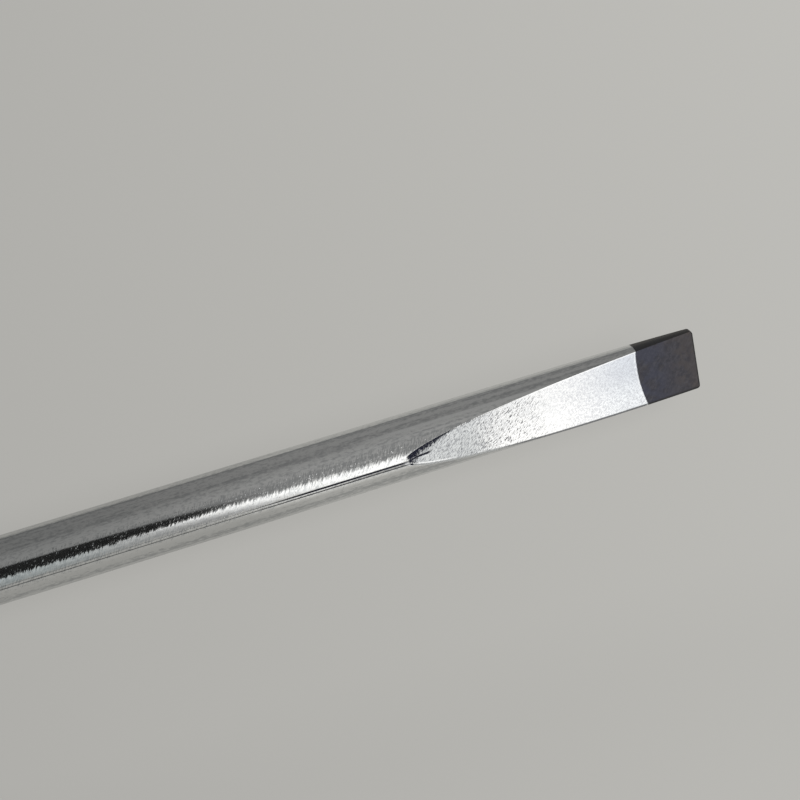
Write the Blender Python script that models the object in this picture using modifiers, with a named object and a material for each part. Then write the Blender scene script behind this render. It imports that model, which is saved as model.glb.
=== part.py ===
"""Slotted screwdriver: a round plated blade with a ground tip, in a six-sided handle.

The tool lies along X with its tip at +X, resting on one facet of its handle on the plane z = 0.
Each piece is modelled along the tool's own axis, local +Z. Heights there start at the handle's
nose: the blade stands above it and the handle lies below it. An empty lays that axis along X.
"""
import math

import bpy
import bmesh
from mathutils import Matrix

# Fits and fineness
FIT_GAP = 0.0003  # between a piece and what holds it
CUT_PAST = 0.0020  # how far a cutter runs past what it cuts
OUTER_SIDES = 48
INNER_SIDES = 36
GROOVE_SIDES = 12
CURVE_STEPS = 6
MERGE_DISTANCE = 0.000005
SHARP_ANGLE = math.radians(30)
FACETS = 6

# Blade
SHANK_DIAMETER = 0.0060
SHANK_LENGTH = 0.1000  # from the nose to the end of the tip
TIP_THICKNESS = 0.0008
TIP_CORNER_RADIUS = 0.0003
FLAT_LENGTH = 0.0303  # from the end of the tip to where the ground flats run out
FLAT_RUN_PAST = 0.0065  # how far the grinding carries on past the run-out, clear of the bar
FLAT_TURN = math.tau / FACETS  # the flats lie parallel to a pair of handle facets
WING_PROUD = 0.0016  # how far the pressed wings stand out of the tang
WING_THICKNESS = 0.0018
WING_LENGTH = 0.0080
WING_SLOPE = 0.0020  # length of a wing's sloped end
WING_SPACING = 0.0130
WING_SETBACK = 0.0050  # from the end of the tang to the rear wings
TANG_CHAMFER = 0.0008

# Core moulded round the tang
COLLAR_LENGTH = 0.0060
COLLAR_WALL = 0.0024  # round the shank at the nose
COLLAR_LEDGE = 0.0006  # how far the collar stands out past the core behind it
COLLAR_FILLET = 0.0008
CORE_WALL = 0.0012  # outside the wings
CORE_END_WALL = 0.0040  # behind the tang
CORE_CORNER = 0.0007  # how far the core's round corners stand out past its flats
RING_SETBACK = 0.0060  # from the collar to the first ring groove
RING_SPACING = 0.0150
RING_WIDTH = 0.0040
RING_DEPTH = 0.0010
RING_COUNT = 2

# Handle body, in lengths from the collar back
NOSE_LENGTH = 0.0090
NOSE_LEDGE = 0.0009  # how far the body's front edge stands out past the collar
GUARD_LENGTH = 0.0050
FLARE_LENGTH = 0.0110
WAIST_LENGTH = 0.0100
SHOULDER_LENGTH = 0.0190
BARREL_LENGTH = 0.0220
TAIL_LENGTH = 0.0050
TAIL_DROP = 0.0004  # how much slimmer the handle is where it meets the cap
BARREL_FLATS = 0.0290
CORNER_PROUD = 0.0018  # how far the round corners stand out past the facets
WAIST_WALL = 0.0016  # between the core and the sleeve
BODY_END_WALL = 0.0030  # between the core and the cap's spigot
SPIGOT_WALL = 0.0033  # between the inlays and the cap's snap bead
RIB_WALL = 0.0024  # between the pockets of two inlays, at their floors

# Soft sleeve round the waist
SLEEVE_FRONT = 0.0055  # how far it reaches up the flare
SLEEVE_BACK = 0.0060  # how far it reaches up the shoulder
SLEEVE_DEPTH = 0.0016
LAND_WIDTH = 0.0014
CREASE_WIDTH = 0.0010
CREASE_DEPTH = 0.0005

# Soft inlays in the barrel's facets
INLAY_DEPTH = 0.0022
INLAY_PROUD = 0.0004
INLAY_REACH = 0.0055  # how far it reaches up the shoulder
INLAY_MARGIN = 0.0030  # from its rear end to the cap
INLAY_EDGE = 0.0005
GROOVE_RADIUS = 0.0009
GROOVE_DEPTH = 0.0005
GROOVE_PITCH = 0.0040
GROOVE_MARGIN = 0.0040  # from an end of the inlay to the nearest groove, at least

# End cap
CAP_FRONT_WALL = 0.0055  # in front of the hanging hole
CAP_END_WALL = 0.0065  # behind it
CAP_STRAIGHT = 0.0060  # before the dome
CAP_END_RADIUS = 0.0090
SPIGOT_LENGTH = 0.0110
SPIGOT_CHAMFER = 0.0008
BEAD_PROUD = 0.0004  # snap bead round the spigot
BEAD_LENGTH = 0.0024
HANG_HOLE_DIAMETER = 0.0070
HANG_HOLE_CHAMFER = 0.0010

# Radii and widths that follow
CORE_FLATS = SHANK_DIAMETER + 2 * (WING_PROUD + FIT_GAP + CORE_WALL)
CORE_RADIUS = CORE_FLATS / 2 + CORE_CORNER
COLLAR_FRONT_RADIUS = SHANK_DIAMETER / 2 + COLLAR_WALL
COLLAR_BACK_RADIUS = CORE_RADIUS + COLLAR_LEDGE
NOSE_RADIUS = COLLAR_BACK_RADIUS + NOSE_LEDGE
WAIST_RADIUS = CORE_RADIUS + FIT_GAP + WAIST_WALL + SLEEVE_DEPTH
GUARD_FLATS = BARREL_FLATS + 2 * INLAY_PROUD
GUARD_RADIUS = GUARD_FLATS / 2 + CORNER_PROUD
BARREL_RADIUS = BARREL_FLATS / 2 + CORNER_PROUD
TAIL_RADIUS = BARREL_RADIUS - TAIL_DROP
POCKET_FLOOR = BARREL_FLATS / 2 - INLAY_DEPTH - FIT_GAP
INLAY_WIDTH = 2 * (POCKET_FLOOR * math.tan(math.pi / FACETS) - FIT_GAP) - RIB_WALL
SPIGOT_RADIUS = POCKET_FLOOR - SPIGOT_WALL - BEAD_PROUD - FIT_GAP
AXIS_HEIGHT = GUARD_FLATS / 2

# Depths behind the nose that follow
RING_START = COLLAR_LENGTH + RING_SETBACK
GUARD_START = COLLAR_LENGTH + NOSE_LENGTH
FLARE_START = GUARD_START + GUARD_LENGTH
WAIST_START = FLARE_START + FLARE_LENGTH
SHOULDER_START = WAIST_START + WAIST_LENGTH
BARREL_START = SHOULDER_START + SHOULDER_LENGTH
TAIL_START = BARREL_START + BARREL_LENGTH
BODY_END = TAIL_START + TAIL_LENGTH
SLEEVE_START = WAIST_START - SLEEVE_FRONT
SLEEVE_END = SHOULDER_START + SLEEVE_BACK
INLAY_START = BARREL_START - INLAY_REACH
INLAY_END = BODY_END - INLAY_MARGIN
CORE_END = BODY_END - SPIGOT_LENGTH - BODY_END_WALL
TANG_LENGTH = CORE_END - CORE_END_WALL
HANG_HOLE_AT = BODY_END + CAP_FRONT_WALL + HANG_HOLE_DIAMETER / 2
HANDLE_LENGTH = HANG_HOLE_AT + HANG_HOLE_DIAMETER / 2 + CAP_END_WALL
NOSE_X = (HANDLE_LENGTH - SHANK_LENGTH) / 2
HANDLE_CURVE = [
    (COLLAR_LENGTH, NOSE_RADIUS),
    (GUARD_START, GUARD_RADIUS),
    (FLARE_START, GUARD_RADIUS),
    (WAIST_START, WAIST_RADIUS),
    (SHOULDER_START, WAIST_RADIUS),
    (BARREL_START, BARREL_RADIUS),
    (TAIL_START, BARREL_RADIUS),
    (BODY_END, TAIL_RADIUS),
]

for old in list(bpy.data.objects):
    bpy.data.objects.remove(old)
parts = bpy.data.collections.new("slotted_screwdriver")
cutters = bpy.data.collections.new("cutters")
bpy.context.scene.collection.children.link(parts)
bpy.context.scene.collection.children.link(cutters)
tool_axis = bpy.data.objects.new("tool_axis", None)
tool_axis.location = (NOSE_X, 0, AXIS_HEIGHT)
tool_axis.rotation_euler.y = math.radians(90)
parts.objects.link(tool_axis)


def material(name, colour, roughness, metallic=0.0):
    made = bpy.data.materials.new(name)
    made.use_nodes = True
    shader = made.node_tree.nodes["Principled BSDF"]
    shader.inputs["Base Color"].default_value = (*colour, 1)
    shader.inputs["Roughness"].default_value = roughness
    shader.inputs["Metallic"].default_value = metallic
    return made


def on_axis(name, mesh, turn=0.0):
    """A new object on the tool's axis, turned about it."""
    made = bpy.data.objects.new(name, mesh)
    made.parent = tool_axis
    made.rotation_euler.z = turn
    parts.objects.link(made)
    return made


def combine(piece, other, operation):
    """Cut, trim or extend a piece by another object, which then becomes a hidden cutter."""
    boolean = piece.modifiers.new(other.name, "BOOLEAN")
    boolean.operation = operation
    boolean.object = other
    if other.name not in cutters.objects:
        parts.objects.unlink(other)
        cutters.objects.link(other)
    other.hide_render = True
    other.display_type = "WIRE"


def spaced(first, last, steps):
    return [first + (last - first) * step / steps for step in range(steps + 1)]


def arc(radius, height, fillet):
    """A fillet's points on the outer upper corner of a turned profile."""
    angles = spaced(math.pi / 2, 0, CURVE_STEPS)
    return [
        (radius - fillet * (1 - math.cos(angle)), height - fillet * (1 - math.sin(angle)))
        for angle in angles
    ]


def turned(name, profile, sides, closed=False):
    """A profile of (radius, height) points, from the top down its outer side, turned about Z."""
    mesh = bpy.data.meshes.new(name)
    points = [(radius, 0, height) for radius, height in profile]
    edges = [(step, step + 1) for step in range(len(points) - 1)]
    if closed:
        edges.append((len(points) - 1, 0))
    mesh.from_pydata(points, edges, [])
    made = on_axis(name, mesh)
    screw = made.modifiers.new("turned", "SCREW")
    screw.steps = sides
    screw.render_steps = sides
    screw.use_merge_vertices = True
    screw.merge_threshold = MERGE_DISTANCE
    return made


def plate(name, outline, thickness, turn=0.0):
    """A flat outline of (across, height) points, standing on the axis, as thick as given along Y."""
    curve = bpy.data.curves.new(name, "CURVE")
    curve.dimensions = "2D"
    curve.fill_mode = "BOTH"
    curve.extrude = thickness / 2
    spline = curve.splines.new("POLY")
    spline.points.add(len(outline) - 1)
    for point, (across, height) in zip(spline.points, outline):
        point.co = (across, height, 0, 1)
    spline.use_cyclic_u = True
    flat = bpy.data.objects.new(name, curve)
    parts.objects.link(flat)
    depsgraph = bpy.context.evaluated_depsgraph_get()
    mesh = bpy.data.meshes.new_from_object(flat.evaluated_get(depsgraph))
    bpy.data.objects.remove(flat)
    shape = bmesh.new()
    shape.from_mesh(mesh)
    bmesh.ops.remove_doubles(shape, verts=shape.verts, dist=MERGE_DISTANCE)
    bmesh.ops.recalc_face_normals(shape, faces=shape.faces)
    shape.to_mesh(mesh)
    shape.free()
    mesh.transform(Matrix.Rotation(math.radians(90), 4, "X"))
    return on_axis(name, mesh, turn)


def facet_ring(name, across_flats, depth_from, depth_to):
    """A six-sided ring that planes the facets of the turned shape inside it."""
    shape = bmesh.new()
    corner_radius = across_flats / 2 / math.cos(math.pi / FACETS)
    length = depth_to - depth_from
    bmesh.ops.create_cone(
        shape, segments=FACETS, radius1=corner_radius, radius2=corner_radius, depth=length
    )
    bmesh.ops.translate(shape, verts=shape.verts, vec=(0, 0, -(depth_from + depth_to) / 2))
    mesh = bpy.data.meshes.new(name)
    shape.to_mesh(mesh)
    shape.free()
    made = on_axis(name, mesh)
    wall = made.modifiers.new("wall", "SOLIDIFY")
    wall.thickness = across_flats
    wall.offset = 1
    wall.use_even_offset = True
    return made


def finish(piece, surface):
    """Fix a piece's modifiers in its mesh, smooth where it is round and sharp at its edges."""
    depsgraph = bpy.context.evaluated_depsgraph_get()
    mesh = bpy.data.meshes.new_from_object(piece.evaluated_get(depsgraph))
    piece.modifiers.clear()
    piece.data = mesh
    mesh.name = piece.name
    mesh.materials.clear()
    mesh.materials.append(surface)
    mesh.shade_smooth()
    mesh.set_sharp_from_angle(angle=SHARP_ANGLE)


def flat_half_thickness(back):
    """Half the thickness between the blade's flats, at a distance back from the end of the tip."""
    return TIP_THICKNESS / 2 + (SHANK_DIAMETER - TIP_THICKNESS) / 2 * back / FLAT_LENGTH


def ground_outline():
    """What the grinding leaves of the bar, seen along the flats."""
    past_run_out = FLAT_LENGTH + FLAT_RUN_PAST
    clear = CORE_FLATS
    side = [
        (flat_half_thickness(-CUT_PAST), SHANK_LENGTH + CUT_PAST),
        (flat_half_thickness(past_run_out), SHANK_LENGTH - past_run_out),
        (clear, SHANK_LENGTH - past_run_out),
        (clear, -TANG_LENGTH - CUT_PAST),
    ]
    outline = side + [(-across, height) for across, height in reversed(side)]
    return plate("ground_outline", outline, 2 * clear, FLAT_TURN)


def tang_wings(clearance):
    """The pressed wings that keep the tang from turning in its core, a quarter turn apart."""
    wings = []
    root = SHANK_DIAMETER / 4
    reach = SHANK_DIAMETER / 2 + WING_PROUD + clearance
    for order in range(2):
        low = WING_SETBACK + order * WING_SPACING - TANG_LENGTH - clearance
        high = low + WING_LENGTH + 2 * clearance
        side = [(root, high), (reach, high - WING_SLOPE), (reach, low + WING_SLOPE), (root, low)]
        outline = side + [(-across, height) for across, height in reversed(side)]
        turn = FLAT_TURN + order * math.radians(90)
        wings.append(plate("wing", outline, WING_THICKNESS + 2 * clearance, turn))
    return wings


def build_blade():
    radius = SHANK_DIAMETER / 2
    profile = [(0, SHANK_LENGTH)]
    profile += arc(radius, SHANK_LENGTH, TIP_CORNER_RADIUS)
    profile += [
        (radius, TANG_CHAMFER - TANG_LENGTH),
        (radius - TANG_CHAMFER, -TANG_LENGTH),
        (0, -TANG_LENGTH),
    ]
    blade = turned("blade", profile, OUTER_SIDES)
    blade.rotation_euler.z = FLAT_TURN
    for wing in tang_wings(0):
        combine(blade, wing, "UNION")
    combine(blade, ground_outline(), "INTERSECT")
    finish(blade, material("plated_steel", (0.55, 0.55, 0.54), 0.25, 1.0))


def core_side(clearance):
    """Points down the side of the core behind its collar, with the ring grooves that lock it."""
    radius = CORE_RADIUS + clearance
    points = []
    for order in range(RING_COUNT):
        top = RING_START + order * RING_SPACING + clearance
        bottom = top + RING_WIDTH - 2 * clearance
        points += [
            (radius, -top),
            (radius - RING_DEPTH, -top),
            (radius - RING_DEPTH, -bottom),
            (radius, -bottom),
        ]
    return points + [(radius, -CORE_END - clearance), (0, -CORE_END - clearance)]


def core_facets(name, clearance):
    flats = CORE_FLATS + 2 * clearance
    return facet_ring(name, flats, COLLAR_LENGTH + FIT_GAP, CORE_END + CUT_PAST)


def core_bore():
    """The six-sided bore in the handle body that takes the core."""
    bore = turned("core_bore", [(0, 0), (CORE_RADIUS + FIT_GAP, 0)] + core_side(FIT_GAP), INNER_SIDES)
    combine(bore, core_facets("bore_facets", FIT_GAP), "DIFFERENCE")
    return bore


def build_tang_core():
    tang_radius = SHANK_DIAMETER / 2 + FIT_GAP
    tang_end = TANG_LENGTH + FIT_GAP
    profile = [(tang_radius, 0)]
    profile += arc(COLLAR_FRONT_RADIUS, 0, COLLAR_FILLET)
    profile += [(COLLAR_BACK_RADIUS, -COLLAR_LENGTH), (CORE_RADIUS, -COLLAR_LENGTH)]
    profile += core_side(0)
    profile += [(0, -tang_end), (tang_radius, -tang_end)]
    core = turned("tang_core", profile, INNER_SIDES, closed=True)
    combine(core, core_facets("core_facets", 0), "DIFFERENCE")
    for wing in tang_wings(FIT_GAP):
        combine(core, wing, "DIFFERENCE")
    finish(core, material("dark_core_plastic", (0.030, 0.032, 0.036), 0.45))


def handle_radius(depth):
    """Outer radius of the turned handle at a depth behind the nose, eased between its stations."""
    for (start, radius), (end, next_radius) in zip(HANDLE_CURVE, HANDLE_CURVE[1:]):
        if depth <= end:
            share = (depth - start) / (end - start)
            return radius + (next_radius - radius) * (1 - math.cos(math.pi * share)) / 2
    return HANDLE_CURVE[-1][1]


def handle_points(depth_from, depth_to, steps, inset=0.0):
    """Points of the handle's outline between two depths, set in by a distance."""
    return [(handle_radius(depth) - inset, -depth) for depth in spaced(depth_from, depth_to, steps)]


def barrel_facets(name):
    return facet_ring(name, BARREL_FLATS, SHOULDER_START, HANDLE_LENGTH + CUT_PAST)


def build_handle_body():
    front = COLLAR_LENGTH + FIT_GAP
    profile = [(0, -front)]
    profile += handle_points(front, GUARD_START, CURVE_STEPS)
    profile += handle_points(FLARE_START, SLEEVE_START, CURVE_STEPS // 2)
    profile += handle_points(SLEEVE_START, SLEEVE_END, 2 * CURVE_STEPS, SLEEVE_DEPTH)
    profile += handle_points(SLEEVE_END, BARREL_START, CURVE_STEPS)
    profile += handle_points(TAIL_START, BODY_END, CURVE_STEPS // 2)
    profile += [(0, -BODY_END)]
    body = turned("handle_body", profile, OUTER_SIDES)
    combine(body, facet_ring("guard_facets", GUARD_FLATS, 0, WAIST_START), "DIFFERENCE")
    combine(body, barrel_facets("barrel_facets"), "DIFFERENCE")
    combine(body, core_bore(), "DIFFERENCE")
    combine(body, spigot("spigot_recess", FIT_GAP, BODY_END + CUT_PAST), "DIFFERENCE")
    for order in range(FACETS):
        combine(body, inlay_plate("inlay_pocket", FIT_GAP, CUT_PAST, order), "DIFFERENCE")
    finish(body, material("hard_handle_plastic", (0.024, 0.090, 0.190), 0.35))


def build_waist_sleeve():
    front = SLEEVE_START + FIT_GAP
    back = SLEEVE_END - FIT_GAP
    pitch = LAND_WIDTH + CREASE_WIDTH
    profile = []
    for rib in range(int((back - front) / pitch)):
        top = front + rib * pitch
        crease = top + LAND_WIDTH + CREASE_WIDTH / 2
        profile += handle_points(top, top + LAND_WIDTH, 1)
        profile += [(handle_radius(crease) - CREASE_DEPTH, -crease)]
    profile += [(handle_radius(back), -back)]
    inner = handle_points(front, back, 2 * CURVE_STEPS, SLEEVE_DEPTH - FIT_GAP)
    sleeve = turned("waist_sleeve", profile + inner[::-1], OUTER_SIDES, closed=True)
    finish(sleeve, material("soft_sleeve_rubber", (0.022, 0.023, 0.025), 0.7))


def inlay_plate(name, clearance, past, order):
    """A long inlay with round ends, lying in a facet, or the pocket that takes it."""
    half_width = INLAY_WIDTH / 2 + clearance
    first = -INLAY_START - INLAY_WIDTH / 2
    last = -INLAY_END + INLAY_WIDTH / 2
    upper = spaced(0, math.pi, 2 * CURVE_STEPS)
    outline = [(half_width * math.cos(turn), first + half_width * math.sin(turn)) for turn in upper]
    outline += [(-half_width * math.cos(turn), last - half_width * math.sin(turn)) for turn in upper]
    floor = POCKET_FLOOR + FIT_GAP - clearance
    face = BARREL_FLATS / 2 + INLAY_PROUD + past
    made = plate(name, outline, face - floor, order * math.tau / FACETS)
    made.data.transform(Matrix.Translation((0, (floor + face) / 2, 0)))
    made.data.transform(Matrix.Rotation(math.radians(-90), 4, "Z"))
    return made


def groove_rods(order):
    """A row of round rods that press the cross grooves into an inlay's face."""
    room = INLAY_END - INLAY_START - 2 * GROOVE_MARGIN
    spaces = int(room / GROOVE_PITCH)
    first = spaces * GROOVE_PITCH / 2 - (INLAY_START + INLAY_END) / 2
    middle = BARREL_FLATS / 2 + INLAY_PROUD + GROOVE_RADIUS - GROOVE_DEPTH
    shape = bmesh.new()
    bmesh.ops.create_cone(
        shape,
        cap_ends=True,
        segments=GROOVE_SIDES,
        radius1=GROOVE_RADIUS,
        radius2=GROOVE_RADIUS,
        depth=2 * INLAY_WIDTH,
    )
    bmesh.ops.rotate(shape, verts=shape.verts, matrix=Matrix.Rotation(math.radians(90), 3, "X"))
    bmesh.ops.translate(shape, verts=shape.verts, vec=(middle, 0, first))
    mesh = bpy.data.meshes.new("groove_rods")
    shape.to_mesh(mesh)
    shape.free()
    rods = on_axis("groove_rods", mesh, order * math.tau / FACETS)
    row = rods.modifiers.new("row", "ARRAY")
    row.count = spaces + 1
    row.use_relative_offset = False
    row.use_constant_offset = True
    row.constant_offset_displace = (0, 0, -GROOVE_PITCH)
    return rods


def build_grip_inlays():
    rubber = material("soft_inlay_rubber", (0.022, 0.023, 0.025), 0.7)
    for order in range(FACETS):
        inlay = inlay_plate("grip_inlay_%d" % (order + 1), 0, 0, order)
        edge = inlay.modifiers.new("edge", "BEVEL")
        edge.width = INLAY_EDGE
        edge.segments = 2
        combine(inlay, groove_rods(order), "DIFFERENCE")
        finish(inlay, rubber)


def spigot(name, clearance, end):
    """The cap's spigot with its snap bead, or the recess that takes it."""
    top = BODY_END - SPIGOT_LENGTH - clearance
    bead = BODY_END - SPIGOT_LENGTH / 2
    radius = SPIGOT_RADIUS + clearance
    profile = [
        (0, -top),
        (radius - SPIGOT_CHAMFER, -top),
        (radius, -top - SPIGOT_CHAMFER),
        (radius, -bead + BEAD_LENGTH / 2),
        (radius + BEAD_PROUD, -bead),
        (radius, -bead - BEAD_LENGTH / 2),
        (radius, -end),
        (0, -end),
    ]
    return turned(name, profile, INNER_SIDES)


def hang_hole():
    """A cross hole with flared mouths, along the normal of the facet that the tool rests on."""
    radius = HANG_HOLE_DIAMETER / 2
    face = BARREL_FLATS / 2
    flare = HANG_HOLE_CHAMFER + CUT_PAST
    upper = [(0, face + CUT_PAST), (radius + flare, face + CUT_PAST), (radius, face - HANG_HOLE_CHAMFER)]
    profile = upper + [(across, -height) for across, height in reversed(upper)]
    hole = turned("hang_hole", profile, INNER_SIDES)
    hole.rotation_euler.y = math.radians(90)
    hole.location.z = -HANG_HOLE_AT
    return hole


def build_end_cap():
    front = BODY_END + FIT_GAP
    dome_start = BODY_END + CAP_STRAIGHT
    dome_length = HANDLE_LENGTH - dome_start
    profile = [(0, -front), (TAIL_RADIUS, -front)]
    profile += [
        (
            CAP_END_RADIUS + (TAIL_RADIUS - CAP_END_RADIUS) * math.cos(angle),
            -dome_start - dome_length * math.sin(angle),
        )
        for angle in spaced(0, math.pi / 2, CURVE_STEPS)
    ]
    profile += [(0, -HANDLE_LENGTH)]
    cap = turned("end_cap", profile, OUTER_SIDES)
    combine(cap, barrel_facets("cap_facets"), "DIFFERENCE")
    combine(cap, spigot("spigot", 0, dome_start), "UNION")
    combine(cap, hang_hole(), "DIFFERENCE")
    finish(cap, material("hard_cap_plastic", (0.024, 0.090, 0.190), 0.35))


build_blade()
build_tang_core()
build_handle_body()
build_waist_sleeve()
build_grip_inlays()
build_end_cap()
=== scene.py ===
import math
from functools import partial
from types import SimpleNamespace

import bmesh
import bpy
from mathutils import Matrix, Vector


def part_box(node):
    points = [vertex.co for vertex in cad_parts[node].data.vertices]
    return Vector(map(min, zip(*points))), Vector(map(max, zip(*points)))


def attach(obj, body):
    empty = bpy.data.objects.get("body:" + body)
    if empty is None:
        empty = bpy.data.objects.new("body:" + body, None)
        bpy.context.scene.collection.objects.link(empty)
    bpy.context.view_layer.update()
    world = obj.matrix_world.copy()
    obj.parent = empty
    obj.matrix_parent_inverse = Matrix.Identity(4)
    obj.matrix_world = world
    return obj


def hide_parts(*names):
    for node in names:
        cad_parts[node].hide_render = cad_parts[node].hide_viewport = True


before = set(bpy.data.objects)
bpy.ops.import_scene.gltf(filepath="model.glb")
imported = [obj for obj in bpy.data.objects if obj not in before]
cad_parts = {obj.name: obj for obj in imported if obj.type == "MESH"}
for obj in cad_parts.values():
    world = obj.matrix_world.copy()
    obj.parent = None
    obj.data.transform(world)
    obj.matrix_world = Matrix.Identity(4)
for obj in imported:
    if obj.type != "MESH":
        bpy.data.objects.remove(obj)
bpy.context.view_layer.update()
scene = bpy.context.scene
scene.view_settings.view_transform = "Standard"
print("frame loaded:", len(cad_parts), "pieces")

# places that the frame gives
bladeLow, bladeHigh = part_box("blade")
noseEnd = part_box("tang_core")[1].x
bodyLow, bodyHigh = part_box("handle_body")
axisHeight = (bodyLow.z + bodyHigh.z) / 2
axisPoint = Vector((0, 0, axisHeight))
tipEnd = bladeHigh.x
flatElevation = math.radians(30)  # how far up the near flat faces
flatNormal = Vector((0, -math.cos(flatElevation), math.sin(flatElevation)))
flatAcross = Vector((0, -math.sin(flatElevation), -math.cos(flatElevation)))
tolerance = 0.000002  # lengths under it count as none


# modelling by hand
def leaveEdit():
    if bpy.context.mode != "OBJECT":
        bpy.ops.object.mode_set(mode="OBJECT")
    bpy.ops.object.select_all(action="DESELECT")


def pickObject(piece):
    leaveEdit()
    piece.select_set(True)
    bpy.context.view_layer.objects.active = piece


def pickNone(kind):
    bpy.ops.mesh.select_mode(type=kind)
    bpy.ops.mesh.select_all(action="DESELECT")


def editPiece(piece):
    pickObject(piece)
    bpy.ops.object.mode_set(mode="EDIT")
    pickNone("VERT")


def pickFaces(piece, test):
    pickNone("FACE")
    mesh = bmesh.from_edit_mesh(piece.data)
    for face in mesh.faces:
        face.select_set(test(face))
    bmesh.update_edit_mesh(piece.data)


def pickVerts(piece, test):
    pickNone("VERT")
    mesh = bmesh.from_edit_mesh(piece.data)
    for vert in mesh.verts:
        vert.select_set(test(vert.co))
    mesh.select_flush_mode()
    bmesh.update_edit_mesh(piece.data)


def pickAll():
    bpy.ops.mesh.select_all(action="SELECT")


def pullOut(*step):
    bpy.ops.mesh.extrude_region_move(TRANSFORM_OT_translate={"value": step})


def settlePlace():
    bpy.ops.object.transform_apply(location=True, rotation=True)


def spaced(first, last, steps):
    return [first + (last - first) * step / steps for step in range(steps + 1)]


def tidyMesh():
    pickAll()
    bpy.ops.mesh.remove_doubles(threshold=tolerance)
    bpy.ops.mesh.normals_make_consistent(inside=False)


def startPoint(name, x, radius):
    leaveEdit()
    bpy.ops.mesh.primitive_plane_add(size=0.001, location=(x, 0, axisHeight + radius))
    piece = bpy.context.object
    piece.name = piece.data.name = name
    settlePlace()
    editPiece(piece)
    pickAll()
    bpy.ops.mesh.merge(type="CENTER")
    return piece


def turnProfile(name, profile, sides, closed=False):
    # the profile's (x, radius) points are drawn with extrudes, then spun round the axis
    piece = startPoint(name, *profile[0])
    for (x, radius), (nextX, nextRadius) in zip(profile, profile[1:]):
        pullOut(nextX - x, 0, nextRadius - radius)
    if closed:
        ends = [Vector((x, 0, axisHeight + radius)) for x, radius in (profile[0], profile[-1])]
        pickVerts(piece, lambda co: min((co - end).length for end in ends) < tolerance)
        bpy.ops.mesh.edge_face_add()
    pickAll()
    bpy.ops.mesh.spin(steps=sides, angle=math.tau, center=axisPoint, axis=(1, 0, 0))
    tidyMesh()
    leaveEdit()
    return piece


def applyBoolean(piece, other, operation):
    pickObject(piece)
    boolean = piece.modifiers.new("cut", "BOOLEAN")
    boolean.operation = operation
    boolean.object = other
    bpy.ops.object.modifier_apply(modifier=boolean.name)
    bpy.data.objects.remove(other)


def joinFrame(piece, material, node):
    piece.data.materials.append(material)
    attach(piece, "root")
    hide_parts(node)


# nodes
def addNode(kind, inputs, tree=None, **settings):
    # the tree is that of the sockets it joins, if none is given
    joins = {key: value for key, value in inputs.items() if isinstance(value, bpy.types.NodeSocket)}
    tree = tree or list(joins.values())[0].id_data
    node = tree.nodes.new("ShaderNode" + kind)
    for key, value in settings.items():
        setattr(node, key, value)
    for socket, value in inputs.items():
        if socket in joins:
            tree.links.new(value, node.inputs[socket])
        else:
            node.inputs[socket].default_value = value
    return node


def mathNode(operation, *values):
    return addNode("Math", dict(enumerate(values)), operation=operation).outputs[0]


times = partial(mathNode, "MULTIPLY")
plus = partial(mathNode, "ADD")
minus = partial(mathNode, "SUBTRACT")
over = partial(mathNode, "DIVIDE")
larger = partial(mathNode, "MAXIMUM")
addTimes = partial(mathNode, "MULTIPLY_ADD")


def offFrom(value, middle):
    return mathNode("ABSOLUTE", minus(value, middle))


def joined(x, y, z):
    return addNode("CombineXYZ", {"X": x, "Y": y, "Z": z}).outputs[0]


def vectorNode(operation, *values):
    node = addNode("VectorMath", dict(enumerate(values)), operation=operation)
    return node.outputs["Value" if operation in ("DOT_PRODUCT", "LENGTH") else "Vector"]


def rampNode(value, low, high, toLow=0.0, toHigh=1.0):
    inputs = {"Value": value, "From Min": low, "From Max": high, "To Min": toLow, "To Max": toHigh}
    return addNode("MapRange", inputs, interpolation_type="SMOOTHSTEP").outputs["Result"]


def ramped(at, *names):
    # product of ramps; the look gives each one's place, from and to, and the levels there if not 0 and 1
    level = 1.0
    for name in names:
        place, *span = at.look[name]
        level = times(level, rampNode(getattr(at, place), *span))
    return level


def noiseNode(vector, scale=1.0, detail=2.0, roughness=0.5):
    inputs = {"Vector": vector, "Scale": scale, "Detail": detail, "Roughness": roughness}
    return addNode("TexNoise", inputs).outputs["Fac"]


def mixColour(factor, first, second):
    inputs = {0: factor, 6: first, 7: second}
    return addNode("Mix", inputs, data_type="RGBA").outputs[2]


def mixValue(factor, first, second):
    inputs = {0: factor, 2: first, 3: second}
    return addNode("Mix", inputs, data_type="FLOAT").outputs[0]


def shaded(colour, shades):
    for share, shade in shades:
        colour = mixColour(share, colour, shade)
    return colour


def feed(node, socket, value):
    node.id_data.links.new(value, node.inputs[socket])


def linkBump(shader, inputs, distance=0.0001):
    bump = addNode("Bump", {**inputs, "Distance": distance})
    feed(shader, "Normal", bump.outputs[0])


def newMaterial(name):
    material = bpy.data.materials.new(name)
    material.use_nodes = True
    tree = material.node_tree
    return material, tree, tree.nodes["Principled BSDF"]


# blade: round plated bar, ground flats, blackened tip
bladeShape = {
    "radius": 0.003,
    "cornerRadius": 0.0003,
    "tipThickness": 0.0008,
    "flatLength": 0.0296,
    "flatRun": 0.006,  # past the run-out
    "plateWidth": 0.02, "plateAhead": 0.001,
    "blockStep": 0.0001, "blockTimes": 3, "blockLength": 0.2,
    "sides": 160,
    "cornerSteps": 6,
    "tangChamfer": 0.0008,
    "flatInside": 0.9998, "flatBehind": 0.001, "flatSlope": 0.2,  # how the faces of the flats are found
    "smoothAngle": 35,
}


def halfThickness(back):
    tipHalf = bladeShape["tipThickness"] / 2
    return tipHalf + (bladeShape["radius"] - tipHalf) * back / bladeShape["flatLength"]


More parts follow.
